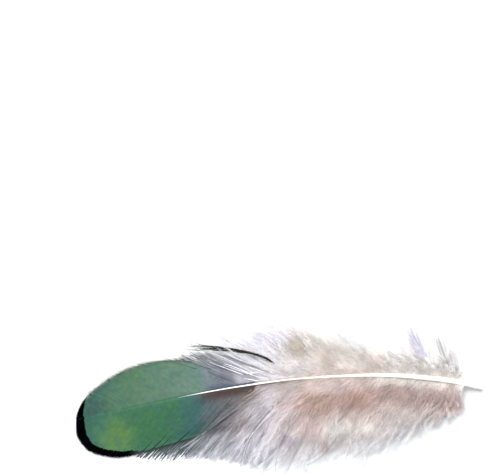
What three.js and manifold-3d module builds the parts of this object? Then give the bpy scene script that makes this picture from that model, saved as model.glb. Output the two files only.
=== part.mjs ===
// A pheasant's mantle feather, lying on a surface with its shiny side up: a quill that runs on as
// the shaft, a closed green vane at the tip, and long loose down along the rest of the shaft.
// Everything grew as one piece, so it is one solid. Millimetres, +Z up. The vane's tip points to
// -X and the quill to +X. The origin is on the surface, under the middle of the outline.
import * as THREE from 'three';
import { mergeVertices } from 'three/addons/utils/BufferGeometryUtils.js';
import Module from 'manifold-3d';

const wasm = await Module();
wasm.setup();

// The shaft's line seen from above, from its end near the vane's tip to the quill's cut end.
const shaftLine = [
  [-35.6, -4.0], [-27.4, -2.0], [-17.5, 0.2], [-7.4, 2.1], [4.1, 3.6],
  [17.8, 4.15], [27.2, 3.5], [33.1, 2.6], [36.75, 1.8],
];
const shaftRadius = { tip: 0.14, middle: 0.34, quill: 0.56 };
const shaftSides = 8;
const shaftSteps = 24;

// The shaft arches, so that the vane's rim and the quill's end meet the surface. Its crown is at
// this share of its length.
const arch = { height: 4.3, endHeight: 0.5, crown: 0.54 };

// Each half of the vane has a rounded end, a quarter of a superellipse, and behind its widest
// point the edge draws in slowly. Edge length is where the last barb of that half ends.
const vaneHalves = [
  { side: 1, width: 7.35, roundLength: 13.9, power: 1.75, edgeLength: 22.5, drawIn: 0.22 },
  { side: -1, width: 8.3, roundLength: 8.7, power: 2.4, edgeLength: 22.5, drawIn: 0.12 },
];
// Barbs run from the shaft forwards to the edge. Root stations are where they leave the shaft,
// behind the vane's tip, at even shares from the first barb to the last.
const vane = {
  rootStations: [0, 2.6, 7.2, 11.6, 15.8, 19.9, 23.9, 27.6, 31], firstBarb: 0.012,
  pastShaft: 1.1, thickness: 0.5, rimHeight: 0.2, rimShare: 0.85,
  elbowOut: 0.62, elbowForward: 0.35, acrossSteps: 5, alongSteps: 18,
};

// Down: each lock is a tapered, curved tuft of barbs. Sweep is how far its tip lies in front of
// its root, and reach how far it stands out to the side, both at even stations from the first
// lock, by the vane, to the last, by the quill.
const downSides = [
  {
    side: 1, count: 23, from: -8.0, to: 32.7,
    sweep: [11.5, 13.5, 14.4, 12.7, 10.5, 8.2, 7.2, 4.4, 1.8],
    reach: [5.6, 6.6, 7.4, 8.2, 9.0, 8.2, 9.0, 8.8, 5.6],
  },
  {
    side: -1, count: 24, from: -9.5, to: 32.7,
    sweep: [8.1, 9.3, 11.2, 13.5, 14.0, 12.4, 10.7, 7.0, 1.2],
    reach: [9.6, 10.7, 13.9, 15.8, 16.8, 16.2, 15.0, 11.4, 5.8],
  },
];
const lock = {
  halfWidth: 1.1, halfHeight: 1.15, rootShare: 0.85, tipShare: 0.2, sides: 6, steps: 6,
  rootDrop: 0.3, rise: 0.9, tipHeight: 0.5, bow: 0.2, fullReach: 9,
};
const lockUneven = { reach: 0.08, sweep: 0.12, tipHeight: 1.6, rise: 0.8, width: 0.2 };

// One long dark tuft lies along the vane's shoulder.
const shoulderTuft = {
  side: 1, root: 2.6, sweep: 19.4, reach: 5.6,
  halfWidth: 0.6, halfHeight: 0.5, tipHeight: 2.4, rise: 0.2,
};

const featherColour = 0xb9a49a;

const level = new THREE.Vector3(0, 0, 1);
const shaftPlan = new THREE.CatmullRomCurve3(
  shaftLine.map(([x, y]) => new THREE.Vector3(x, y, 0)), false, 'catmullrom', 0.5,
);
const shaftLength = shaftPlan.getLength();

// A repeatable number from -1 to 1 for one lock and one of its traits.
function uneven(index, trait) {
  const wave = Math.sin(index * 12.9898 + trait * 78.233) * 43758.5453;
  return 2 * (wave - Math.floor(wave)) - 1;
}

// A value between evenly spaced stations, at a share from 0 to 1 of the way along them.
function between(stations, share) {
  const place = THREE.MathUtils.clamp(share, 0, 1) * (stations.length - 1);
  const first = Math.min(Math.floor(place), stations.length - 2);
  return THREE.MathUtils.lerp(stations[first], stations[first + 1], place - first);
}

function shaftHeight(share) {
  const span = share < arch.crown ? arch.crown : 1 - arch.crown;
  return arch.endHeight + arch.height * (1 - ((share - arch.crown) / span) ** 2);
}

function shaftRadiusAt(share) {
  return between([shaftRadius.tip, shaftRadius.middle, shaftRadius.quill], share);
}

// The shaft's middle, its direction and the level direction to its left, at a share of its length.
// Shares below 0 run straight on past its end.
function shaftFrame(share) {
  const along = shaftPlan.getTangentAt(Math.max(0, share));
  const middle = shaftPlan.getPointAt(Math.max(0, share));
  middle.addScaledVector(along, Math.min(0, share) * shaftLength);
  middle.z = shaftHeight(Math.max(0, share));
  return { middle, along, across: level.clone().cross(along) };
}

// The share of the shaft's length at which it passes a given x.
function shareAtX(x) {
  let low = 0;
  let high = 1;
  for (let i = 0; i < 40; i++) {
    const half = (low + high) / 2;
    if (shaftPlan.getPointAt(half).x < x) low = half;
    else high = half;
  }
  return low;
}

// Moves every vertex of a plain shape by a function of its place.
function reshaped(geometry, place) {
  const position = geometry.getAttribute('position');
  const vertex = new THREE.Vector3();
  for (let i = 0; i < position.count; i++) {
    vertex.fromBufferAttribute(position, i);
    const moved = place(vertex);
    position.setXYZ(i, moved.x, moved.y, moved.z);
  }
  return geometry;
}

function solidOf(geometry) {
  const plain = geometry.clone();
  plain.deleteAttribute('normal');
  plain.deleteAttribute('uv');
  const merged = mergeVertices(plain, 1e-5);
  return new wasm.Manifold(new wasm.Mesh({
    numProp: 3,
    vertProperties: merged.getAttribute('position').array,
    triVerts: new Uint32Array(merged.index.array),
  }));
}

function geometryOf(solid) {
  const mesh = solid.getMesh();
  const geometry = new THREE.BufferGeometry();
  geometry.setAttribute('position', new THREE.BufferAttribute(mesh.vertProperties, 3));
  geometry.setIndex(new THREE.BufferAttribute(mesh.triVerts, 1));
  geometry.computeVertexNormals();
  return geometry;
}

// A round tube that follows the arched shaft and thickens towards the quill's flat cut end.
function makeShaft() {
  const tube = new THREE.CylinderGeometry(1, 1, 1, shaftSides, shaftSteps);
  return solidOf(reshaped(tube, (vertex) => {
    const share = 0.5 - vertex.y;
    const { middle, across } = shaftFrame(share);
    const radius = shaftRadiusAt(share);
    return middle
      .addScaledVector(across, vertex.x * radius)
      .addScaledVector(level, vertex.z * radius);
  }));
}

// The vane's edge for one half: the distance behind the tip, and out from the shaft line.
function vaneEdge(half, share) {
  const roundShare = 0.5;
  if (share < roundShare) {
    const turn = (share / roundShare) * Math.PI / 2;
    return {
      behind: half.roundLength * (1 - Math.cos(turn) ** (2 / half.power)),
      out: half.width * Math.sin(turn) ** (2 / half.power),
    };
  }
  const back = (share - roundShare) / (1 - roundShare);
  return {
    behind: THREE.MathUtils.lerp(half.roundLength, half.edgeLength, back),
    out: half.width * (1 - half.drawIn * back ** 2),
  };
}

// A point on one barb of the vane, from its root on the shaft (out 0) to its tip (out 1).
function vanePoint(half, share, out) {
  const edge = vaneEdge(half, share);
  const root = between(vane.rootStations, share);
  const elbow = {
    behind: root - vane.elbowForward * (root - edge.behind),
    out: vane.elbowOut * edge.out,
  };
  const line = new THREE.QuadraticBezierCurve(
    new THREE.Vector2(root, 0), new THREE.Vector2(elbow.behind, elbow.out),
    new THREE.Vector2(edge.behind, edge.out),
  );
  const place = line.getPoint(out);
  const { middle, across } = shaftFrame((place.x - vane.pastShaft) / shaftLength);
  const crown = Math.max(vane.rimHeight, middle.z - 0.1);
  const fall = Math.min(1, out / vane.rimShare) ** 1.5;
  const point = middle.addScaledVector(across, half.side * place.y);
  point.z = THREE.MathUtils.lerp(crown, vane.rimHeight, fall);
  return point;
}

// A thin sheet, highest along the shaft and lowest at its rim, where it rests on the surface.
function makeVane() {
  const sheet = new THREE.BoxGeometry(2, 1, 1, 2 * vane.acrossSteps, vane.alongSteps, 1);
  return solidOf(reshaped(sheet, (vertex) => {
    const share = THREE.MathUtils.lerp(1, vane.firstBarb, vertex.y + 0.5);
    const half = vaneHalves[vertex.x > 0 ? 0 : 1];
    return vanePoint(half, share, Math.abs(vertex.x))
      .addScaledVector(level, vertex.z * vane.thickness);
  }));
}

// A lock is a tube bent along a curve from the shaft to its tip, widest near the middle.
function makeLock(spec) {
  const root = shaftFrame(shareAtX(spec.root)).middle.addScaledVector(level, -lock.rootDrop);
  const offset = new THREE.Vector3(-spec.sweep, spec.side * spec.reach, 0);
  const tip = root.clone().add(offset).setZ(spec.tipHeight);
  const elbow = root.clone().addScaledVector(offset, 0.5).add(
    new THREE.Vector3(lock.bow * spec.sweep, spec.side * lock.bow * spec.reach, spec.rise),
  );
  const line = new THREE.QuadraticBezierCurve3(root, elbow, tip);
  const tube = new THREE.CylinderGeometry(1, 1, 1, lock.sides, lock.steps);
  return solidOf(reshaped(tube, (vertex) => {
    const share = 0.5 - vertex.y;
    const heading = line.getTangent(share).setZ(0).normalize();
    const beside = level.clone().cross(heading);
    const swell = lock.rootShare + (1 - lock.rootShare) * Math.sin(Math.PI * share);
    const taper = 1 - (1 - lock.tipShare) * share ** 2.2;
    return line.getPoint(share)
      .addScaledVector(beside, vertex.x * spec.halfWidth * swell * taper)
      .addScaledVector(level, vertex.z * spec.halfHeight * swell * taper);
  }));
}

function downLocks() {
  return downSides.flatMap((field, fieldIndex) => Array.from({ length: field.count }, (_, i) => {
    const share = i / (field.count - 1);
    const index = 100 * fieldIndex + i;
    const reach = between(field.reach, share) * (1 + lockUneven.reach * uneven(index, 2));
    const fullness = 0.5 + 0.5 * Math.min(1, reach / lock.fullReach);
    return {
      side: field.side,
      root: THREE.MathUtils.lerp(field.from, field.to, share),
      sweep: between(field.sweep, share) * (1 + lockUneven.sweep * uneven(index, 1)),
      reach,
      tipHeight: lock.tipHeight + lockUneven.tipHeight * Math.max(0, uneven(index, 3)),
      halfWidth: lock.halfWidth * fullness * (1 + lockUneven.width * uneven(index, 4)),
      halfHeight: lock.halfHeight * fullness,
      rise: lock.rise + lockUneven.rise * uneven(index, 5),
    };
  }));
}

// Whatever would sink below the surface is pressed flat on it.
function surfaceBlock() {
  const size = 120;
  const depth = 10;
  return solidOf(new THREE.BoxGeometry(size, size, depth).translate(0, 0, -depth / 2));
}

const grown = [makeShaft(), makeVane(), ...[...downLocks(), shoulderTuft].map(makeLock)];
const solid = wasm.Manifold.union(grown).subtract(surfaceBlock());

const feather = new THREE.Mesh(
  geometryOf(solid),
  new THREE.MeshStandardMaterial({ color: featherColour, roughness: 0.7, metalness: 0 }),
);
feather.name = 'feather';

const part = new THREE.Group();
part.add(feather);

export default part;
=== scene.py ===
# Pheasant mantle feather, shiny side up on a white ground, grown strand by strand round the frame.
# Sizes are in millimetres until a mesh is made. X runs from the vane's tip to the quill.
import math

import bpy
import numpy as np
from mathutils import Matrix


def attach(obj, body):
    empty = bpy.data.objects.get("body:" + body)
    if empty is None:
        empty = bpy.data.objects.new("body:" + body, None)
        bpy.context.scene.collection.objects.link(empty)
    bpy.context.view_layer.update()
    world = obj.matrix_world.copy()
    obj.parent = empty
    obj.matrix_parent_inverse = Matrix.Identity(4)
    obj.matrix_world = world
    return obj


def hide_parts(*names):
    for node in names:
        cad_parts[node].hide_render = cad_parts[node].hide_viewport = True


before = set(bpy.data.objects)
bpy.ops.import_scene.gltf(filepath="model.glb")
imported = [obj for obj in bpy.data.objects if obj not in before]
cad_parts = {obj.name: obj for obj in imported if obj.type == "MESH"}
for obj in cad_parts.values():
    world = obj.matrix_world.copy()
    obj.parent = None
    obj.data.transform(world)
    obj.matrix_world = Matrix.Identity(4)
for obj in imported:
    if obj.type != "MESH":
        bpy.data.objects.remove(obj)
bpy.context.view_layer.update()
mm = 0.001
rng = np.random.default_rng(11)
level = np.array([0.0, 0.0, 1.0])
print("frame loaded")


# Small helpers

def smooth(low, high, value):
    t = np.clip((value - low) / (high - low), 0, 1)
    return t * t * (3 - 2 * t)


def mix(a, b, t):
    return a + (b - a) * t


def unit(vectors):
    return vectors / np.maximum(np.linalg.norm(vectors, axis=-1, keepdims=True), 1e-9)


def between(stations, share):
    return np.interp(np.clip(share, 0, 1), np.linspace(0, 1, len(stations)), stations)


def uneven(index, trait):  # a repeatable number from -1 to 1, as it shapes the solid's locks
    wave = np.sin(index * 12.9898 + trait * 78.233) * 43758.5453
    return 2 * (wave - np.floor(wave)) - 1


# The shaft's line, which everything grows from

shaft = {
    "line": [(-35.6, -4.0), (-27.4, -2.0), (-17.5, 0.2), (-7.4, 2.1), (4.1, 3.6),
             (17.8, 4.15), (27.2, 3.5), (33.1, 2.6), (36.75, 1.8)],  # seen from above
    "archHeight": 4.3, "endHeight": 0.5, "crown": 0.54,  # mm, mm, and where along it is highest
    "radius": [0.03, 0.045, 0.075, 0.125, 0.17, 0.23, 0.32, 0.43, 0.53],  # vane's tip to quill
    "sides": 16, "steps": 60, "lineSteps": 60, "slopeStep": 0.3,
    "hollow": 0.62, "hollowDepth": 1.5,  # the open end of the quill
    "nearTip": (0.19, 0.28), "sinks": 0.3,  # near the vane's tip its halves close over the shaft
    "longestDown": 16.0,  # mm from the shaft that the materials count as 1
}


def shaftTable():
    points = np.array(shaft["line"])
    padded = np.vstack([2 * points[0] - points[1], points, 2 * points[-1] - points[-2]])
    t = np.linspace(0, 1, shaft["lineSteps"], endpoint=False)[:, None]
    stretches = []
    for i in range(len(points) - 1):
        before, start, end, after = padded[i:i + 4]
        leave, arrive = 0.5 * (end - before), 0.5 * (after - start)
        stretches.append(start + leave * t + (3 * (end - start) - 2 * leave - arrive) * t**2
                         + (2 * (start - end) + leave + arrive) * t**3)
    line = np.vstack(stretches + [points[-1:]])
    run = np.concatenate([[0], np.cumsum(np.linalg.norm(np.diff(line, axis=0), axis=1))])
    return line, run


shaftPlan, shaftRun = shaftTable()
shaftLength = shaftRun[-1]


def shaftHeight(share):
    crown = shaft["crown"]
    span = np.where(share < crown, crown, 1 - crown)
    return shaft["endHeight"] + shaft["archHeight"] * (1 - ((share - crown) / span) ** 2)


def planAt(run):
    return np.stack([np.interp(run, shaftRun, shaftPlan[:, i]) for i in (0, 1)], -1)


def shaftFrame(share):  # middle, direction along and level direction across
    inside = np.clip(share, 0, 1)
    run = inside * shaftLength
    step = shaft["slopeStep"]
    along = unit(planAt(np.minimum(run + step, shaftLength)) - planAt(np.maximum(run - step, 0)))
    flat = planAt(run) + along * ((share - inside) * shaftLength)[..., None]
    middle = np.concatenate([flat, shaftHeight(inside)[..., None]], -1)
    nothing = np.zeros_like(inside)
    return (middle, np.stack([along[..., 0], along[..., 1], nothing], -1),
            np.stack([-along[..., 1], along[..., 0], nothing], -1))


def shareAtX(x):
    return np.interp(x, shaftPlan[:, 0], shaftRun) / shaftLength


def offShaft(points):  # how far a point lies to the side of the shaft, seen from above
    return np.abs(points[..., 1] - np.interp(points[..., 0], shaftPlan[:, 0], shaftPlan[:, 1]))


def beyondShaft(points):
    return offShaft(points) / shaft["longestDown"]


# Meshes from arrays of strands: every grid holds strands x steps x ring x 3 points

barb = {
    "ramusTall": 0.7, "ramusTallest": 0.05, "ramusTip": 0.3,  # share of its half width, mm, share at its tip
    "ribbonEdge": 0.01, "ribbonTop": 0.02, "ribbonBottom": 0.03,  # mm above and below a flat barb's middle
    "heights": {"stem": 0.02, "silk": 0.05, "barbule": (0.03, 5.95), "down": (0.08, 5.7),
                "strand": (0.1, 5.7)},  # mm over the ground that each keeps, and mm that it stays under
    "stemMap": [0.02, 0.04, 0.06, 0.04],  # where its ring lies in the barb's column of the map
}
fineBarbule = {
    "from": 0.03, "bends": [1.0, 0.5], "halfWidths": [0.022, 0.017, 0.004],
    "lengths": (0.6, 1.2), "grows": (-0.1, 0.12),  # shares of the barbule's own length
    "closes": 0.35, "unevenAngle": 0.15, "unevenFacing": 0.35,
}


def gridFaces(shape, closed, first):
    strands, steps, ring = shape
    spot = first + np.arange(strands * steps * ring).reshape(shape)
    after = np.roll(spot, -1, axis=2)
    if not closed:
        spot, after = spot[:, :, :-1], after[:, :, :-1]
    quads = [np.stack([spot[:, :-1], after[:, :-1], after[:, 1:], spot[:, 1:]], -1).reshape(-1, 4)]
    if closed:
        quads += [spot[:, 0, ::-1], spot[:, -1]]  # the two ends
    return np.concatenate(quads)


def strandMesh(name, grids, materials, darkPoints=None):
    faces, first = [], 0
    for grid in grids:
        shape = grid["points"].shape[:3]
        faces.append(gridFaces(shape, grid["closed"], first))
        first += math.prod(shape)
    faces = np.concatenate(faces).astype(np.int32)
    points = np.concatenate([grid["points"].reshape(-1, 3) for grid in grids]) * mm

    def gather(key, width):
        rows = [np.broadcast_to(grid[key], grid["points"].shape[:3] + (width,)) for grid in grids]
        return np.concatenate([row.reshape(-1, width) for row in rows]).astype(np.float32)

    mesh = bpy.data.meshes.new(name)
    mesh.vertices.add(len(points))
    mesh.vertices.foreach_set("co", points.astype(np.float32).ravel())
    mesh.loops.add(faces.size)
    mesh.loops.foreach_set("vertex_index", faces.ravel())
    mesh.polygons.add(len(faces))
    mesh.polygons.foreach_set("loop_start", np.arange(0, faces.size, 4, dtype=np.int32))
    mesh.update(calc_edges=True)
    for key in ("strand", "fibre"):
        values = mesh.attributes.new(key, "FLOAT_VECTOR", "POINT")
        values.data.foreach_set("vector", gather(key, 3).ravel())
    layer = mesh.uv_layers.new(name="OFBake")
    layer.uv.foreach_set("vector", gather("map", 2)[faces.ravel()].ravel())
    for material in materials:
        mesh.materials.append(material)
    if darkPoints is not None:
        dark = darkPoints.reshape(-1)[faces].all(1)
        mesh.polygons.foreach_set("material_index", dark.astype(np.int32))
    piece = bpy.data.objects.new(name, mesh)
    bpy.context.scene.collection.objects.link(piece)
    print(f"{name}: {len(faces) * 2} triangles")
    return piece


def alongPath(path, share):  # points at shares of each path's steps
    steps = path.shape[1] - 1
    place = np.clip(share, 0, 1) * steps
    low = np.minimum(place.astype(int), steps - 1)
    rows = np.arange(len(path))[:, None]
    return mix(path[rows, low], path[rows, low + 1], (place - low)[..., None])


def turned(heading, angle):
    c, s = np.cos(angle), np.sin(angle)
    return np.stack([heading[:, 0] * c - heading[:, 1] * s, heading[:, 0] * s + heading[:, 1] * c], -1)


def sweptPaths(root, tip, rise, leave, arrive, steps):
    # seen from above, a curve that leaves and arrives turned against its chord by these degrees
    chord = tip[:, :2] - root[:, :2]
    third = np.linalg.norm(chord, axis=1, keepdims=True) / 3
    heading = unit(chord)
    first = root[:, :2] + turned(heading, np.radians(leave)) * third
    last = tip[:, :2] - turned(heading, np.radians(arrive)) * third
    s = np.linspace(0, 1, steps)[None, :, None]
    plan = ((1 - s)**3 * root[:, None, :2] + 3 * s * (1 - s)**2 * first[:, None]
            + 3 * s**2 * (1 - s) * last[:, None] + s**3 * tip[:, None, :2])
    top = (root[:, 2] + rise)[:, None, None]
    z = (1 - s)**2 * root[:, None, 2:] + 2 * s * (1 - s) * top + s**2 * tip[:, None, 2:]
    return np.concatenate([plan, z], -1)


def ramusGrid(path, width, values):  # the barb's own stem, four-sided; width is half its breadth
    tangent = unit(np.gradient(path, axis=1))
    beside = unit(np.cross(tangent, level))
    rise = np.cross(beside, tangent)
    count, steps = path.shape[:2]
    half = np.broadcast_to(width, (count, steps))[..., None]
    tall = np.minimum(half * barb["ramusTall"], barb["ramusTallest"])
    ring = np.stack([path - beside * half, path + rise * tall,
                     path + beside * half, path - rise * tall], 2)
    return ringGrid(ring, values)


def ribbonGrid(path, edges, values):  # a flat barb that reaches its neighbours on both sides
    edge = level * barb["ribbonEdge"]
    return ringGrid(np.stack([edges[0] - edge, path + level * barb["ribbonTop"],
                              edges[1] + edge, path - level * barb["ribbonBottom"]], 2), values)


def ringGrid(ring, values):
    ring[..., 2] = np.maximum(ring[..., 2], barb["heights"]["stem"])
    shape = ring.shape[:3]
    s = np.broadcast_to(np.linspace(0, 1, shape[1])[None, :, None], shape)
    column, station, extent, lot = (np.broadcast_to(values[key][:, None, None], shape)
                                    for key in ("column", "station", "extent", "lot"))
    fibre = np.stack([np.zeros(shape), np.full(shape, 0.5), beyondShaft(ring)], -1)
    column = (column + np.array(barb["stemMap"])) / values["columns"]
    return {"points": ring, "closed": True, "fibre": fibre, "map": np.stack([column, s], -1),
            "strand": np.stack([station, s * extent, lot], -1)}


def barbuleGrid(path, spec, values):  # fine branches on both sides of each barb
    count, each = len(path), spec["barbules"]
    q = (np.arange(each)[None] + rng.random((count, each))) / each
    q = spec["from"] + (1 - spec["from"]) * q
    base = alongPath(path, q)
    tangent = unit(alongPath(unit(np.gradient(path, axis=1)), q))
    beside = unit(np.cross(tangent, level))
    rise = np.cross(beside, tangent)
    side = np.where(np.arange(each) % 2 == 0, 1.0, -1.0)[None]
    roll = rng.normal(0, 1, (count, each)) * values["roll"][:, None]
    outward = beside * (side * np.cos(roll))[..., None] + rise * np.sin(roll)[..., None]
    length = values["barbule"][:, None] * (1 - values["shorter"][:, None] * q**3)
    length = length * smooth(*spec["grows"], q) * rng.uniform(*spec["lengths"], (count, each))
    angle = values["angle"][:, None] * (1 - spec["closes"] * q)
    angle = angle + rng.normal(0, spec["unevenAngle"], (count, each))
    points, spot = [base], base
    for bend in spec["bends"]:
        turn = (angle * bend)[..., None]
        heading = tangent * np.cos(turn) + outward * np.sin(turn)
        spot = spot + heading * (length / len(spec["bends"]))[..., None]
        points.append(spot)
    total = count * each
    line = np.stack(points, 2).reshape(total, len(points), 3)
    facing = unit(level + rng.normal(0, spec["unevenFacing"], (total, 1, 3)))
    across = unit(np.cross(np.gradient(line, axis=1), facing))
    half = np.array(spec["halfWidths"])[None, :, None]
    ring = np.stack([line - across * half, line + across * half], 2)
    ring[..., 2] = np.clip(ring[..., 2], *barb["heights"]["barbule"])
    shape = ring.shape[:3]
    column, station, extent, lot = (
        np.broadcast_to(np.repeat(values[key], each)[:, None, None], shape)
        for key in ("column", "station", "extent", "lot"))
    place = np.broadcast_to(q.reshape(-1)[:, None, None], shape)
    part = np.broadcast_to(np.linspace(0.15, 1, len(points))[None, :, None], shape)
    own = np.broadcast_to(rng.random((total, 1, 1)), shape)
    ends = np.array([0.0, 0.08])[None, None, :]  # its two edges side by side on the map
    u = (column + 0.1 + 0.8 * part + ends) / values["columns"]
    return {"points": ring, "closed": False, "map": np.stack([u, place * 0.98 + ends * 0.08], -1),
            "strand": np.stack([station, place * extent, lot], -1),
            "fibre": np.stack([part, own, beyondShaft(ring)], -1)}


def barbPiece(name, groups, material):  # one mesh from several groups of barbs
    columns = sum(len(group["path"]) for group in groups)
    grids, first = [], 0
    for group in groups:
        count, steps = group["path"].shape[:2]
        values = {key: np.broadcast_to(value, count) for key, value in group["values"].items()}
        values.update(column=first + np.arange(count), columns=columns)
        if "edges" in group:
            grids.append(ribbonGrid(group["path"], group["edges"], values))
        else:
            width = group["stem"] * np.linspace(1, barb["ramusTip"], steps)[None]
            grids.append(ramusGrid(group["path"], width, values))
        grids.append(barbuleGrid(group["path"], group["spec"], values))
        first += count
    return strandMesh(name, grids, [material])


# Materials: nodes that read where on the feather a strand grows, and where along it a point lies.
# Tones are a colour picker's red, green and blue; places and noise are in millimetres.

def paint(red, green, blue):  # 0 to 255 as Blender's linear colour
    picked = np.array([red, green, blue]) / 255
    linear = np.where(picked < 0.04045, picked / 12.92, ((picked + 0.055) / 1.055) ** 2.4)
    return (*[float(x) for x in linear], 1.0)


def newMaterial(name):
    material = bpy.data.materials.new(name)
    material.use_nodes = True
    material.node_tree.nodes.clear()
    return material, material.node_tree


def addNode(tree, kind, inputs=None, **settings):
    node = tree.nodes.new(kind)
    for key, value in settings.items():
        setattr(node, key, value)
    for key, value in (inputs or {}).items():
        if isinstance(value, bpy.types.NodeSocket):
            tree.links.new(value, node.inputs[key])
        else:
            node.inputs[key].default_value = value
    return node


def maths(tree, operation, value, *others):
    for other in others:
        value = addNode(tree, "ShaderNodeMath", {0: value, 1: other}, operation=operation).outputs[0]
    return value


def mapRange(tree, value, low, high, toLow=0.0, toHigh=1.0, kind="SMOOTHSTEP"):
    inputs = {"Value": value, "From Min": low, "From Max": high, "To Min": toLow, "To Max": toHigh}
    return addNode(tree, "ShaderNodeMapRange", inputs, interpolation_type=kind).outputs[0]


def blendColour(tree, share, under, over, kind="MIX"):  # a colour's sockets are 6, 7 and 2
    under, over = (paint(*tone) if isinstance(tone, tuple) and len(tone) == 3 else tone
                   for tone in (under, over))
    return addNode(tree, "ShaderNodeMix", {0: share, 6: under, 7: over}, data_type="RGBA",
                   blend_type=kind).outputs[2]


def scaleColour(tree, colour, factor):
    grey = addNode(tree, "ShaderNodeCombineColor", {0: factor, 1: factor, 2: factor}).outputs[0]
    return blendColour(tree, 1.0, colour, grey, "MULTIPLY")


def colourRamp(tree, factor, stops):
    node = addNode(tree, "ShaderNodeValToRGB", {0: factor})
    elements = node.color_ramp.elements
    while len(elements) < len(stops):
        elements.new(0.5)
    for element, (place, tone) in zip(elements, stops):
        element.position = place
        element.color = paint(*tone)
    return node.outputs[0]


def noiseAt(tree, vector, scale, detail=2.0, shift=0.0):
    inputs = {"Vector": vector, "Scale": scale, "Detail": detail, "W": shift / mm}
    return addNode(tree, "ShaderNodeTexNoise", inputs, noise_dimensions="4D").outputs["Fac"]


def distanceTo(tree, vector, place):
    return addNode(tree, "ShaderNodeVectorMath", {0: vector, 1: place},
                   operation="DISTANCE").outputs["Value"]


def readPoint(tree, noises, fibre=("part", "own", "beyond")):  # all that a look's rows can name
    read = {}
    for name, parts in (("strand", ("station", "out", "lot")), ("fibre", fibre)):
        vector = addNode(tree, "ShaderNodeAttribute", attribute_name=name).outputs["Vector"]
        read.update(zip(parts, addNode(tree, "ShaderNodeSeparateXYZ", {0: vector}).outputs))
    place = addNode(tree, "ShaderNodeTexCoord").outputs["Object"]
    place = addNode(tree, "ShaderNodeVectorMath", {0: place, "Scale": 1 / mm}, operation="SCALE").outputs[0]
    read["place"] = place
    read["x"] = addNode(tree, "ShaderNodeSeparateXYZ", {0: place}).outputs[0]
    for name, spec in noises.items():
        read[name] = noiseAt(tree, place, *spec)
    return read


def wander(tree, read, value, **amounts):  # a value that others shift, each by up to its amount
    shifts = [mapRange(tree, read[name], 0.0, 1.0, -amount, amount, "LINEAR")
              for name, amount in amounts.items()]
    return maths(tree, "ADD", value, *shifts)


def shareOf(tree, read, ranges):  # every range is a value's name, from, to, low and high
    return maths(tree, "MULTIPLY", *[mapRange(tree, read[name], *span) for name, *span in ranges])


def layTones(tree, read, colour, rows):  # a tone goes on by its ranges; none scales what is there
    for tone, *ranges in rows:
        share = shareOf(tree, read, ranges)
        if tone is None:
            colour = scaleColour(tree, colour, share)
        else:
            colour = blendColour(tree, share, colour, read.get(tone, tone))
    return colour


softPatch = {"ragged": 3.5, "from": 1.3, "to": 0.4}  # mm, and shares of a patch's radius


def softPatches(tree, read, colour, patches):  # round tones of the coat, seen from above
    flat = addNode(tree, "ShaderNodeVectorMath", {0: read["place"], 1: (1, 1, 0)}, operation="MULTIPLY")
    for (x, y), radius, tone, strength in patches:
        away = distanceTo(tree, flat.outputs[0], (x, y, 0))
        away = wander(tree, read, away, ragged=softPatch["ragged"])
        share = mapRange(tree, away, radius * softPatch["from"], radius * softPatch["to"], 0.0, strength)
        colour = blendColour(tree, share, colour, tone)
    return colour


def finishMaterial(tree, colour, roughness, specular, through=0.0, more=None):
    shader = addNode(tree, "ShaderNodeBsdfPrincipled", {
        "Base Color": colour, "Roughness": roughness, "Specular IOR Level": specular,
        **(more or {})}).outputs[0]
    if through:  # the share of light that passes through
        glow = addNode(tree, "ShaderNodeBsdfTranslucent", {"Color": colour}).outputs[0]
        shader = addNode(tree, "ShaderNodeMixShader", {0: through, 1: shader, 2: glow}).outputs[0]
    addNode(tree, "ShaderNodeOutputMaterial", {"Surface": shader})


# Vane: interlocked barbs, each a thin ribbon with a ridge, that fan out to a rounded end

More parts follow.
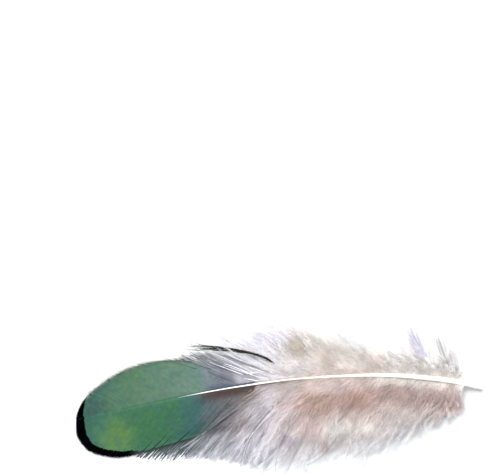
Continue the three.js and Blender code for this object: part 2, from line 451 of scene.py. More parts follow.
vane = {
    "halves": [
        {"name": "vane_upper", "side": 1, "width": 7.35, "roundLength": 13.9, "power": 1.75,
         "bulge": -0.22, "edgeLength": 22.5, "drawIn": 0.22,
         "roots": [0, 4.1, 10.4, 17.3, 22.7, 26.0, 28.8, 31.2, 33.5],
         "border": [(0, 1.55), (0.03, 1.35), (0.094, 0.95), (0.13, 0.65), (0.165, 0.3), (0.2, 0)],
         "frayed": [0, 0, 0.8, 1, 0.9, 0.7, 0.7, 1, 1], "fringe": 0.044,
         "slits": [(0.9, 0.01, 0.8)]},
        {"name": "vane_lower", "side": -1, "width": 8.6, "roundLength": 8.7, "power": 2.4,
         "bulge": 0.78, "edgeLength": 22.8, "drawIn": 0.1,
         "roots": [0, 4.3, 8.7, 13.1, 17.6, 22, 26, 29.8, 33.5],
         "border": [(0, 1.6), (0.06, 1.85), (0.15, 1.62), (0.2, 1.5), (0.25, 1.35), (0.35, 1.22),
                    (0.42, 1.15), (0.48, 1.0), (0.52, 0.8), (0.58, 0.35), (0.64, 0)],
         "frayed": [0, 0, 0, 0, 0.2, 0.8, 1, 1, 1], "fringe": 0.034,
         "slits": [(0.54, 0.005, 0.88), (0.61, 0.006, 0.8), (0.66, 0.005, 0.84), (0.78, 0.008, 0.8)]},
    ],
    "bulgeStarts": (-0.05, 0.35), "bulgeEnds": (0.62, 0.95),
    "pastShaft": 1.1, "rimHeight": 0.32, "rimShare": 0.9, "fallPower": 1.5, "belowCrown": 0.05,
    "seam": 0.08, "seamFade": 12, "seamDip": 0.012,  # the upper half's edge dips into the lower half
    "elbowOut": 0.62, "elbowForward": 0.36, "firstRoot": 0.15,
    "barbs": 130, "innerSteps": 21, "tipSteps": 6, "overlap": 0.3,
    "ridge": 0.03, "edge": 0.015, "thickness": 0.03,
    "borderStray": 0.004, "darkTips": (0.44, 0.75), "darkTipLength": (0.02, 0.08),
    "fringeMean": 0.6, "evenFringe": 0.006,
    "narrowFrom": (0.975, 0.92), "narrowBy": (0.6, 0.9),  # at a whole edge and at a frayed one
    "looseFrom": 0.93, "looseWidth": (0.35, 0.8), "looseNarrows": (0.25, 0.8),  # at the rear
    "looseLift": 0.35, "frayedLift": 0.03, "borderSteps": 240, "crossingSteps": 80,
    "slitReach": 0.035, "slitOpens": 0.25,
}


def vaneEdge(half, share):
    turn = np.clip(share / 0.5, 0, 1) * np.pi / 2
    back = np.clip((share - 0.5) / 0.5, 0, None)
    full = np.sin(turn) ** (2 / half["power"])
    rounded = half["roundLength"] * (1 - np.cos(turn) ** (2 / half["power"]))
    bulge = smooth(*vane["bulgeStarts"], full) * (1 - smooth(*vane["bulgeEnds"], full))
    rounded = rounded - half["bulge"] * bulge
    behind = np.where(share < 0.5, rounded, mix(half["roundLength"], half["edgeLength"], back))
    out = half["width"] * np.where(share < 0.5, full, 1 - half["drawIn"] * back**2)
    return behind, out


def vaneFall(crown, share):  # from beside the shaft down to the rim
    return mix(crown, vane["rimHeight"], np.clip(share / vane["rimShare"], 0, 1) ** vane["fallPower"])


def vanePoint(half, share, out):
    share, out = np.broadcast_arrays(share, out)
    behind, wide = vaneEdge(half, share)
    root = between(half["roots"], share)
    elbowBehind = root - vane["elbowForward"] * (root - behind)
    elbowWide = vane["elbowOut"] * wide
    along = (1 - out) ** 2 * root + 2 * out * (1 - out) * elbowBehind + out**2 * behind
    dive = np.clip(1 - vane["seamFade"] * out, 0, 1)
    across = 2 * out * (1 - out) * elbowWide + out**2 * wide - vane["seam"] * dive
    middle, _, sideways = shaftFrame((along - vane["pastShaft"]) / shaftLength)
    point = middle + sideways * (half["side"] * across)[..., None]
    crown = np.maximum(vane["rimHeight"], middle[..., 2] - vane["belowCrown"])
    crown = crown - (0.0 if half["side"] < 0 else vane["seamDip"]) * dive
    point[..., 2] = vaneFall(crown, across / np.maximum(wide, 0.5))
    return point


def vaneHeight(points, width):  # height of the vane's sheet at a place
    crown = shaftHeight(shareAtX(points[..., 0])) - vane["belowCrown"]
    return vaneFall(crown, offShaft(points) / width)


def borderGap(points):  # mm from the border's inner edge, below zero inside the border
    flat = points.reshape(-1, 3)[:, :2]
    best = np.full(len(flat), np.inf)
    for half in vane["halves"]:
        share = np.linspace(0, half["border"][-1][0], vane["borderSteps"])
        edge = vanePoint(half, share, np.ones_like(share))[:, :2]
        width = np.interp(share, *zip(*half["border"]))
        gap = np.linalg.norm(flat[:, None] - edge[None], axis=2) - width[None]
        best = np.minimum(best, gap.min(1))
    return best.reshape(points.shape[:-1])


def spreadAtSlits(half, share, middle, out):  # barbs on both sides of a slit lean away from it
    for place, wide, start in half["slits"]:
        lean = np.where(middle < place, -1.0, 1.0) * np.exp(-((middle - place) / vane["slitReach"]) ** 2)
        share = share + wide * lean * smooth(start - vane["slitOpens"], 1.0, out)
    return share


def vaneHalf(half, materials):
    count = vane["barbs"]
    stations = np.linspace(0, 1, len(half["roots"]))
    cells = np.interp(np.linspace(vane["firstRoot"], half["roots"][-1], count + 1), half["roots"], stations)
    middle = 0.5 * (cells[1:] + cells[:-1])[:, None]
    halfCell = 0.5 * (cells[1:] - cells[:-1])[:, None] * (1 + vane["overlap"])
    frayed = between(half["frayed"], middle)
    loose = smooth(vane["looseFrom"], 1.0, middle)

    # every barb has a row of points where it enters the black border
    tries = np.linspace(0, 1, vane["crossingSteps"])[None]
    inBorder = borderGap(vanePoint(half, middle, tries)) < 0
    bordered = inBorder[:, -1:]
    crossing = 1 - inBorder.mean(1, keepdims=True) + vane["borderStray"] * rng.normal(size=(count, 1))
    until, often = vane["darkTips"]
    darkTip = bordered | ((middle < until) & (rng.random((count, 1)) < often))
    crossing = np.where(bordered, crossing, 1 - rng.uniform(*vane["darkTipLength"], (count, 1)))
    inner = np.linspace(0, 1, vane["innerSteps"])[None, :-1] * crossing
    outer = crossing + (1 - crossing) * np.linspace(0, 1, vane["tipSteps"])[None]
    out = np.concatenate([inner, outer], 1)
    fringe = mix(vane["evenFringe"], half["fringe"], frayed)
    stretch = 1 + (vane["fringeMean"] + rng.normal(size=(count, 1))) * fringe
    out = out * mix(1, stretch, smooth(0.5, 1.0, out))

    start = mix(*vane["narrowFrom"], frayed)
    narrow = 1 - mix(*vane["narrowBy"], frayed) * np.clip((out - start) / (1 - start), 0, 1)
    apart = rng.uniform(*vane["looseWidth"], (count, 1))
    narrow = narrow * mix(1, apart, loose * smooth(*vane["looseNarrows"], out))
    reach = half["side"] * halfCell * narrow
    edgeA, top, edgeB = (vanePoint(half, np.clip(spreadAtSlits(half, share, middle, out), 0, None), out)
                         for share in (middle - reach, middle + 0 * out, middle + reach))
    lift = rng.uniform(0, vane["looseLift"], (count, 1)) * loose
    lift = (lift + vane["frayedLift"] * frayed * rng.random((count, 1))) * out
    edge, ridge = level * vane["edge"], level * vane["ridge"]
    points = np.stack([edgeA - edge, top + ridge * narrow[..., None],
                       edgeB + edge, top - level * vane["thickness"]], 2)
    points[..., 2] = np.maximum(points[..., 2] + lift[..., None], barb["heights"]["stem"])

    shape = points.shape[:3]
    lot = np.broadcast_to(rng.random((count, 1, 1)), shape)
    station = np.broadcast_to(middle[..., None], shape)
    outs = np.broadcast_to(out[..., None], shape)
    side = np.full(shape, 0.5 + 0.5 * half["side"])
    under = np.broadcast_to(np.array([0.0, 0.0, 0.0, 1.0]), shape)
    column = (np.arange(count)[:, None, None] + np.array([0.1, 0.5, 0.9, 0.5])) / count
    dark = np.zeros(shape, bool)
    dark[:, vane["innerSteps"] - 1:] = darkTip[..., None]
    grid = {"points": points, "closed": True, "strand": np.stack([station, outs, lot], -1),
            "fibre": np.stack([side, beyondShaft(points), under], -1),
            "map": np.stack(np.broadcast_arrays(column, outs * 0.95 + 0.01), -1)}
    return strandMesh(half["name"], [grid], materials, dark)


vaneLook = {
    "span": (-37, -3),  # mm along the feather that both rows of tones cover, from the tip
    # The upper row is lighter and greyer than the lower: partly the halves' own tones, partly a painted
    # sheen on the upper half.
    "upper": [(0.0, (38, 72, 64)), (0.12, (42, 75, 67)), (0.25, (62, 95, 72)), (0.52, (76, 103, 86)),
              (0.66, (82, 108, 97)), (0.695, (88, 109, 104)), (0.72, (98, 105, 114)),
              (0.8, (122, 126, 134)), (0.87, (160, 160, 168)), (0.94, (198, 196, 203)),
              (1.0, (220, 217, 223))],
    "lower": [(0.0, (44, 84, 72)), (0.14, (50, 94, 78)), (0.32, (54, 100, 66)), (0.52, (53, 101, 70)),
              (0.61, (54, 95, 88)), (0.66, (56, 94, 95)), (0.7, (70, 94, 98)), (0.74, (94, 101, 104)),
              (0.8, (106, 104, 108)), (0.9, (140, 131, 131)), (1.0, (176, 168, 170))],
    "noises": {"drift": (0.33,), "speckle": (0.5,), "blotch": (0.42, 3.0, 4.0), "mottle": (1.3, 3.0, 2.0),
               "warmth": (0.8, 3.0, 9.0), "grain": (6.0,)},  # scale, detail and shift
    "patchPlace": (-29.2, -7.0, 0.4),
    "rows": [
        ((86, 122, 62), ("patch", 5.0, 1.4, 0.0, 0.8)),  # the yellow-green patch near the tip
        ((50, 90, 84), ("blotch", 0.42, 0.7, 0.0, 0.4)),
        ("hair", ("out", 0.88, 0.98, 0.0, 0.8), ("side", 0, 1)),  # the upper half's fringe
        ((26, 36, 36), ("out", 0.9, 0.98, 0.0, 0.8), ("side", 1, 0), ("x", -12.5, -16.0)),
        # maroon-brown on the lower half beside the shaft: partly the barbs' own colour, partly painted shade
        # of the shaft
        ((70, 56, 56), ("x", -16.5, -11.5), ("side", 1, 0), ("beyond", 0.18, 0.04)),
        ((66, 74, 92), ("x", -14.5, -11.5), ("beyond", 0.1, 0.02), ("side", 0, 1)),
        (None, ("lot", 0.0, 1.0, 0.96, 1.04)), (None, ("mottle", 0.3, 0.7, 0.9, 1.1)),
        ((84, 112, 66), ("warmth", 0.5, 0.72, 0.0, 0.3), ("x", -11.0, -16.0)),
        ((104, 98, 92), ("under", 0, 1), ("out", 0.02, 0.08, 0.0, 0.6)),  # the duller underside
    ],
    "hair": ((44, 50, 48), (134, 134, 124)), "hairLots": (0.4, 0.5),
    "borderTones": [(0.0, (1, 1, 2)), (1.0, (5, 6, 8))],
    "borderRows": [((76, 86, 88), ("x", -27.5, -22.5))],
}


def vaneMaterial():
    material, tree = newMaterial("vaneGreen")
    read = readPoint(tree, vaneLook["noises"], ("side", "beyond", "under"))
    moved = wander(tree, read, read["x"], drift=4.0, lot=0.6)
    along = mapRange(tree, moved, *vaneLook["span"], kind="LINEAR")
    # the lower half's tones, blended to the upper half's, which carry a painted sheen
    colour = blendColour(tree, read["side"], colourRamp(tree, along, vaneLook["lower"]),
                         colourRamp(tree, along, vaneLook["upper"]))
    away = distanceTo(tree, read["place"], vaneLook["patchPlace"])
    read["patch"] = wander(tree, read, away, speckle=1.8)
    read["hair"] = blendColour(tree, mapRange(tree, read["lot"], *vaneLook["hairLots"]), *vaneLook["hair"])
    colour = layTones(tree, read, colour, vaneLook["rows"])
    bump = addNode(tree, "ShaderNodeBump", {"Strength": 0.1, "Distance": 0.03 * mm, "Height": read["grain"]})
    finishMaterial(tree, colour, roughness=0.5, specular=0.2, more={
        "Sheen Weight": 0.04, "Sheen Roughness": 0.4, "Normal": bump.outputs[0]})
    return material


def borderMaterial():
    material, tree = newMaterial("borderBlack")
    read = readPoint(tree, {})
    colour = colourRamp(tree, read["lot"], vaneLook["borderTones"])
    colour = layTones(tree, read, colour, vaneLook["borderRows"])
    finishMaterial(tree, colour, roughness=0.6, specular=0.0)
    return material


vaneMaterials = [vaneMaterial(), borderMaterial()]
vanePieces = [vaneHalf(half, vaneMaterials) for half in vane["halves"]]
print("vane grown")


# Silk: the smooth rear of both vane halves, wide soft ribbons side by side

silk = {
    "sides": [
        {"name": "silk_upper", "side": 1, "width": 7.35, "roots": (-8.5, 7.5), "barbs": 110,
         "tips": [(-20.6, 6.9), (-18.4, 7.3), (-16.4, 7.8), (-13.4, 8.4), (-9.8, 8.6), (-6.4, 8.3),
                  (-3.6, 7.6)],
         "leave": -4, "arrive": -2, "ends": 0.7, "narrow": 0.75, "stray": 0.26, "extent": (0.9, 1.0)},
        {"name": "silk_lower", "side": -1, "width": 7.4, "roots": (-7.0, 14.0), "barbs": 170,
         "tips": [(-26.0, -10.9), (-22.9, -11.4), (-19.8, -11.5), (-16.8, -11.3), (-13.5, -11.3),
                  (-9.6, -11.1), (-6.8, -12.0), (-4.4, -12.6), (-2.4, -13.0)],
         "leave": -8, "arrive": -12, "ends": 0.9, "narrow": 0.5, "stray": 0.18, "extent": (0.94, 1.03)},
    ],
    "overlap": 0.35, "steps": 24, "unevenEnds": (0.85, 1.1),
    "rootDrop": 0.2, "rootShare": 0.1, "lift": (-0.03, 0.05), "tipLift": 0.3, "tipLifts": (0.75, 1.0),
    "underVane": (-13.6, -12.4), "under": 0.3,  # ahead of there the silk lies this far under the vane
    "barbules": 46, "barbule": 0.35, "unevenBarbule": (0.8, 1.3), "barbulesBefore": 0.2,
    "barbuleShape": {"angle": 0.4, "roll": 0.2, "shorter": 0.5},
}


def silkCurves(field, share, s):
    root = shaftFrame(shareAtX(mix(*field["roots"], share)))[0]
    corners = np.array(field["tips"])
    tip = np.stack([between(corners[:, 0], share), between(corners[:, 1], share), 0 * share], -1)
    side = field["side"]
    return alongPath(sweptPaths(root, tip, 0.0, -side * field["leave"], side * field["arrive"],
                                silk["steps"]), s)


def growSilk(field, material):
    count = field["barbs"]
    share = (np.arange(count) + 0.5) / count
    cell = 0.5 * (1 + silk["overlap"]) / count
    t = np.linspace(0, 1, silk["steps"])[None]
    s = t * rng.uniform(*field["extent"], (count, 1))
    path = silkCurves(field, share, s)
    beside = unit(np.cross(np.gradient(path, axis=1), level))
    stray = rng.normal(0, field["stray"], (count, 1)) * smooth(field["ends"], 1.0, t)
    stray = beside * stray[..., None]
    ends = field["ends"] * rng.uniform(*silk["unevenEnds"], (count, 1))
    narrow = (1 - field["narrow"] * smooth(ends, 1.0, t))[..., None]
    lift = rng.uniform(*silk["lift"], (count, 1))
    lift = lift + rng.uniform(0, silk["tipLift"], (count, 1)) * smooth(*silk["tipLifts"], t)
    lift = mix(-silk["under"], lift, smooth(*silk["underVane"], path[..., 0]))
    height = vaneHeight(path, field["width"]) + lift
    height = height - silk["rootDrop"] * (1 - smooth(0, silk["rootShare"], s))
    height = np.maximum(height, barb["heights"]["silk"])[..., None]
    edges = [path + (silkCurves(field, np.clip(share + shift, 0, 1), s) - path) * narrow + stray
             for shift in (-cell, cell)]
    path, *edges = [line * (1.0, 1.0, 0.0) + level * height for line in (path + stray, *edges)]
    values = {"station": share, "extent": 1.0, "lot": rng.random(count),
              "barbule": silk["barbule"] * rng.uniform(*silk["unevenBarbule"], count),
              **silk["barbuleShape"]}
    spec = {**fineBarbule, "from": field["ends"] - silk["barbulesBefore"], "barbules": silk["barbules"]}
    group = {"path": path, "edges": edges, "values": values, "spec": spec}
    return barbPiece(field["name"], [group], material)


silkLooks = {
    "silkUpper": {
        # from 0.61 on the pale tones are partly the smooth barbs' own lilac white, partly a painted sheen
        "along": [(0.0, (84, 94, 88)), (0.2, (92, 106, 104)), (0.29, (100, 108, 114)),
                  (0.4, (124, 128, 137)), (0.5, (164, 164, 172)), (0.61, (202, 200, 206)),
                  (0.73, (220, 217, 223)), (0.83, (228, 225, 230)), (1.0, (232, 228, 230))],
        "patches": [((-9.6, 3.4), 1.8, (96, 102, 114), 0.5), ((-5.6, 3.4), 2.4, (146, 144, 153), 0.6)],
        "rim": (0.26, 0.36), "rimTone": (206, 208, 214), "outside": (214, 214, 224), "last": (0.97, 0.98),
        "shadow": (74, 80, 96), "shadowAhead": (-7.0, -10.5)},
    "silkLower": {
        "along": [(0.0, (40, 62, 60)), (0.27, (68, 90, 90)), (0.35, (93, 96, 97)),
                  (0.43, (107, 101, 103)), (0.5, (130, 123, 124)), (0.58, (166, 158, 160)),
                  (0.65, (198, 192, 196)), (0.73, (216, 210, 216)), (1.0, (230, 222, 224))],
        "patches": [((-10.8, -3.2), 1.7, (66, 74, 84), 0.6), ((-7.6, -0.4), 1.8, (94, 84, 72), 0.5)],
        "rim": (0.4, 0.6), "rimTone": (208, 206, 213), "outside": (222, 221, 228), "last": (0.86, 0.98),
        "shadow": (84, 68, 54), "shadowAhead": (-1.0, -7.5)},
}
silkShared = {
    "span": (-20, 4), "noises": {"drift": (0.3,), "ragged": (0.38, 3.0, 5.0)},
    "streaks": 34, "unevenRim": 0.16,
    # Ahead, the outside and last tones are a painted bluish shadow: the ground's shade under the vane's
    # lower rim, put on the ribbon ends.
    "ahead": (-18.5, -7.0), "rimAhead": (84, 95, 98), "shadedOutsideAhead": (126, 134, 148),
    "shadedLastAhead": (156, 164, 178), "outsideFrom": (0.62, 0.74),
    "rows": [
        ("edge", ("atRim", 0, 1, 0, 1, "LINEAR")),
        ((240, 240, 244), ("lot", 0.89, 0.8901), ("out", 0.35, 0.6), ("atRim", 0, 1, 0.15, 0.6, "LINEAR"),
         ("x", -15.0, -10.0, 0.3, 1.0)),  # single pale ribbons
        ((70, 74, 82), ("lot", 0.1, 0.0999), ("x", -6.0, -11.0), ("atRim", 0, 1, 0.05, 0.25, "LINEAR")),
        (None, ("streak", 0.3, 0.7, 0.92, 1.07)),
        ("shadow", ("beyond", 0.2, 0.05), ("shadowAhead", 0, 1, 0, 1, "LINEAR")),
        (None, ("lot", 0.0, 0.9, 0.96, 1.04, "LINEAR")),
    ],
}


def silkMaterial(name):
    look, shared = silkLooks[name], silkShared
    material, tree = newMaterial(name)
    read = readPoint(tree, shared["noises"])
    moved = wander(tree, read, read["x"], drift=2.0, lot=1.2)
    colour = colourRamp(tree, mapRange(tree, moved, *shared["span"], kind="LINEAR"), look["along"])
    colour = softPatches(tree, read, colour, look["patches"])
    rank = maths(tree, "MULTIPLY", read["station"], shared["streaks"])
    spread = addNode(tree, "ShaderNodeCombineXYZ", {0: rank, 1: read["out"]})
    read["streak"] = noiseAt(tree, spread.outputs[0], scale=1.0, detail=4.0)
    outer = wander(tree, read, read["beyond"], streak=shared["unevenRim"])
    ahead = mapRange(tree, moved, *shared["ahead"])
    # ahead, the outer tones turn to the painted bluish shadow
    edge, outside, last = (blendColour(tree, ahead, shared[key], tone) for key, tone in (
        ("rimAhead", look["rimTone"]), ("shadedOutsideAhead", look["outside"]), ("shadedLastAhead", look["outside"])))
    outside = blendColour(tree, mapRange(tree, read["out"], *look["last"]), outside, last)
    read["edge"] = blendColour(tree, mapRange(tree, outer, *shared["outsideFrom"]), edge, outside)
    read["atRim"] = mapRange(tree, outer, *look["rim"])
    read["shadow"] = look["shadow"]
    read["shadowAhead"] = mapRange(tree, read["x"], *look["shadowAhead"])
    colour = layTones(tree, read, colour, shared["rows"])
    finishMaterial(tree, colour, roughness=0.6, specular=0.2, through=0.25)
    return material


silkMaterials = [silkMaterial(name) for name in silkLooks]
silkPieces = [growSilk(field, material) for field, material in zip(silk["sides"], silkMaterials)]
print("silk grown")


# Down: loose barbs that gather into the solid's locks, each with fine barbules

down = {
    "sides": [
        {"name": "down_upper", "key": 0, "side": 1, "locks": 23, "from": -8.0, "to": 32.7, "parts": 2,
         "density": [0.0, 0.0, 0.3, 0.9, 1.3, 1.3, 1.3, 1.2, 1.4],
         "sweep": [11.5, 14.0, 15.5, 16.0, 16.5, 16.5, 14.0, 7.5, 1.0],
         "reach": [5.6, 6.6, 7.6, 8.6, 9.2, 9.0, 8.7, 8.6, 4.6],
         "coat": [0.95, 0.95, 0.95, 0.94, 0.92, 0.9, 0.88, 0.86, 0.84, 0.81, 0.78, 0.7, 0.62, 0.56,
                  0.38, 0.42, 0.6],  # reach of the dense part
         "long": [0.8, 0.6, 0.4, 0.25, 0.18, 0.14, 0.1, 0.08, 0.2],  # share of barbs that go on
         "leave": [4, 0, -8, -16, -20, -22, -18, -6, 4],
         "arrive": [4, 4, 0, -6, -6, -2, 0, 8, 8],
         "barbule": [0.45, 0.7, 1.1, 1.5, 1.6, 1.6, 1.5, 1.2, 1.0], "gather": [0.35, 0.35]},
        {"name": "down_lower", "key": 100, "side": -1, "locks": 24, "from": -9.5, "to": 32.7, "parts": 3,
         "density": [0.0, 0.0, 0.35, 0.85, 1.1, 1.1, 1.1, 1.3, 2.4],
         "sweep": [12.0, 14.5, 16.5, 17.0, 16.5, 15.5, 14.5, 12.0, -0.3],
         "reach": [10.5, 12.2, 12.8, 14.2, 16.3, 17.2, 14.7, 14.5, 5.2],
         "coat": [1.0], "long": [1.0],
         "leave": [-4, -8, -18, -28, -34, -34, -28, -16, 0],
         "arrive": [-6, -10, -18, -24, -26, -22, -16, -6, 6],
         "barbule": [0.45, 0.7, 1.1, 1.6, 1.9, 2.0, 1.8, 1.5, 1.1],
         "gather": [0.6, 0.6, 0.6, 0.65, 0.7, 0.6, 0.4, 0.3, 0.3]},
    ],
    "layers": [  # from the longest barbs to the short ones over the shaft's foot
        {"barbs": (110, 150), "extent": (0.84, 1.04), "clump": 0.5, "rise": 0.4, "wave": 0.4,
         "curl": 0.8, "stem": 0.03, "barbules": 260},
        {"barbs": (80, 110), "extent": (0.4, 0.9), "clump": 0.25, "rise": 0.9, "wave": 0.4,
         "curl": 1.2, "stem": 0.03, "barbules": 230},
        {"barbs": (46, 60), "extent": (0.22, 0.55), "clump": 0.1, "rise": 1.2, "wave": 0.4,
         "curl": 0.9, "stem": 0.035, "barbules": 150},
    ],
    "rootDrop": 0.25, "steps": 16, "silky": (0.14, 0.36),  # the foremost barbs are smoother
    "lockTip": 0.4, "lockRise": 0.6, "unevenTip": 1.6, "unevenRise": 0.6, "lockTurns": (6, 12),
    "unevenReach": 0.08, "unevenSweep": 0.12, "shiftSweep": 0.7,
    "barbTips": (0.2, 1.6), "barbRise": 0.3, "barbTurns": (6, 12), "wild": 1.3,
    "ripples": [(2.3, 0.5), (5.1, 0.35), (9.7, 0.3)],  # waves over the whole side, and their size
    "flow": 15, "folds": 0.45,  # degrees and mm that neighbouring barbs stray together
    "frontSinks": 0.8, "front": (0.2, 0.45),  # mm that the foremost barbs lie closer to the vane,
    # and the shares of the side over which that ends
    "unevenClump": 0.12, "gathers": (0.02, 0.75), "waves": (0.7, 1.7), "fullLength": 12,
    "silkyCalm": 0.35, "shortCalm": 0.2, "strays": 0.3, "shortFluff": 0.55,
    "unevenBarbule": (0.8, 1.15), "thickLots": 0.92, "thick": 2.0, "silkyThick": 1.4,
    "angles": (0.95, 0.4), "rolls": (0.65, 0.2),  # of the barbules, on loose and on silky barbs
    "tapers": (0.7, 0.5), "fullFrom": (0.35, 0.7),  # how much the barbules shorten, and where less
    "hooks": (0.6, 1.0), "numbers": (500, 100), "fineSteps": 200, "wholeCoat": 0.95,
}


def ripple(share, trait):  # a soft random wave over the shares, from about -1 to 1
    return sum(size * np.sin(2 * np.pi * (pace * share + uneven(pace, trait)))
               for pace, size in down["ripples"])


def downRoots(field, share):
    x = mix(field["from"], field["to"], share)
    return shaftFrame(shareAtX(x))[0] - level * down["rootDrop"]


def downPaths(field, share, key, wild, rise, turns, tipHeight):
    root = downRoots(field, share)
    sweep = between(field["sweep"], share) * (1 + down["unevenSweep"] * wild * uneven(key, 1))
    sweep = sweep + down["shiftSweep"] * wild * uneven(key, 4)
    reach = between(field["reach"], share) * (1 + down["unevenReach"] * wild * uneven(key, 2))
    tip = root + np.stack([-sweep, field["side"] * reach, 0 * sweep], -1)
    tip[:, 2] = tipHeight
    leave = -field["side"] * (between(field["leave"], share) + turns[0])
    arrive = field["side"] * (between(field["arrive"], share) + turns[1])
    return sweptPaths(root, tip, rise, leave, arrive, down["steps"])


def lockPaths(field):
    number = np.arange(field["locks"])
    key = field["key"] + number
    tipHeight = down["lockTip"] + down["unevenTip"] * np.maximum(0, uneven(key, 3))
    rise = down["lockRise"] + down["unevenRise"] * uneven(key, 5)
    turns = [size * uneven(key, 6 + i) for i, size in enumerate(down["lockTurns"])]
    return downPaths(field, number / (field["locks"] - 1), key, 1.0, rise, turns, tipHeight)


def plantLayer(field, layer, count, locks):
    even = (np.arange(count) + 0.5 + 0.5 * rng.uniform(-1, 1, count)) / count
    fine = np.linspace(0, 1, down["fineSteps"])
    crowd = np.cumsum(between(field["density"], fine))
    share = np.interp(np.clip(even, 0, 1), (crowd - crowd[0]) / (crowd[-1] - crowd[0]), fine)
    lock = np.round(share * (field["locks"] - 1)).astype(int)
    coat, long = between(field["coat"], share), between(field["long"], share)
    extent = rng.uniform(*layer["extent"], count)
    dense = rng.random(count) > long
    extent = np.where(dense, extent * coat, extent)
    silky = 1 - smooth(*down["silky"], share)

    trait = field["key"] + layer["curl"]
    rise = layer["rise"] + rng.normal(0, down["barbRise"], count)
    rise = rise + down["folds"] * ripple(share, trait + 1)
    rise = rise - down["frontSinks"] * (1 - smooth(*down["front"], share))
    turns = [rng.normal(0, size, count) + down["flow"] * ripple(share, trait + 2 + i)
             for i, size in enumerate(down["barbTurns"])]
    tipHeight = rng.uniform(*down["barbTips"], count)
    first, apart = down["numbers"]  # so that no barb strays like a lock or a barb of another layer
    key = first + field["key"] + apart * layer["curl"] + np.arange(count)
    own = downPaths(field, share, key, down["wild"], rise, turns, tipHeight)
    s = np.linspace(0, 1, down["steps"])[None] * extent[:, None]
    clump = layer["clump"] * between(field["gather"], share)
    clump = np.clip(clump + rng.normal(0, down["unevenClump"], count), 0, 0.95)[:, None]
    pull = clump * smooth(*down["gathers"], s)
    path = mix(alongPath(own, s), alongPath(locks[lock], s), pull[..., None])

    t = np.linspace(0, 1, down["steps"])[None]
    beside = unit(np.cross(np.gradient(path, axis=1), level))
    phase, waves = rng.uniform(0, 2 * np.pi, (count, 1)), rng.uniform(*down["waves"], (count, 1))
    size = np.linalg.norm(path[:, -1, :2] - path[:, 0, :2], axis=1) / down["fullLength"]
    calm = (mix(1.0, down["silkyCalm"], silky) * np.clip(size, down["shortCalm"], 1.0))[:, None]
    sway = layer["wave"] * calm * t * np.sin(phase + waves * 2 * np.pi * t)
    spread = down["strays"] * rng.normal(size=(count, 1)) * np.sin(np.pi * t)
    hook = rng.normal(0, layer["curl"], (count, 1)) * calm * smooth(*down["hooks"], t) ** 2
    path = path + beside * (sway + spread + hook)[..., None]
    path[..., 2] = np.clip(path[..., 2], *barb["heights"]["down"])
    fluff = mix(down["shortFluff"], 1.0, extent)
    fluff = fluff * np.where(dense | (coat > down["wholeCoat"]), 1.0, down["shortFluff"])
    lot = rng.random(count)
    length = between(field["barbule"], share) * rng.uniform(*down["unevenBarbule"], count) * fluff
    values = {"station": share, "extent": extent, "lot": lot, "barbule": length,
              "angle": mix(*down["angles"], silky), "roll": mix(*down["rolls"], silky),
              "shorter": mix(*down["tapers"], smooth(*down["fullFrom"], share))}
    stem = layer["stem"] * mix(1.0, down["silkyThick"], silky)
    stem = stem * np.where(lot > down["thickLots"], down["thick"], 1.0)
    return {"path": path, "stem": stem[:, None], "values": values,
            "spec": {**fineBarbule, "barbules": layer["barbules"]}}


def pickRows(group, rows):
    return {"path": group["path"][rows], "stem": group["stem"][rows], "spec": group["spec"],
            "values": {key: value[rows] for key, value in group["values"].items()}}


def growDown(field, column, material):
    locks = lockPaths(field)
    groups = [plantLayer(field, layer, layer["barbs"][column], locks) for layer in down["layers"]]
    made = []
    for part in range(field["parts"]):
        low, high = part / field["parts"], (part + 1) / field["parts"]
        chosen = []
        for group in groups:
            station = group["values"]["station"]
            chosen.append(pickRows(group, (station >= low) & (station < high)))
        made.append(barbPiece(f"{field['name']}_{part + 1}", chosen, material))
    return made


pearl = (236, 234, 238)
dull = (222, 215, 213)
lilac = (212, 210, 224)
mist = (244, 241, 244)
greyGreen = (222, 218, 214)
cream = (246, 240, 236)
beige = (225, 218, 213)
pinkBeige = (234, 221, 216)
rose = (219, 195, 187)
clay = (206, 200, 198)
haze = (241, 236, 241)
taupe = (204, 184, 180)
mauve = (186, 174, 184)
# partly the barbs' own brown, partly the shaft's painted shadow
shaftShadowBrown = (130, 104, 92)

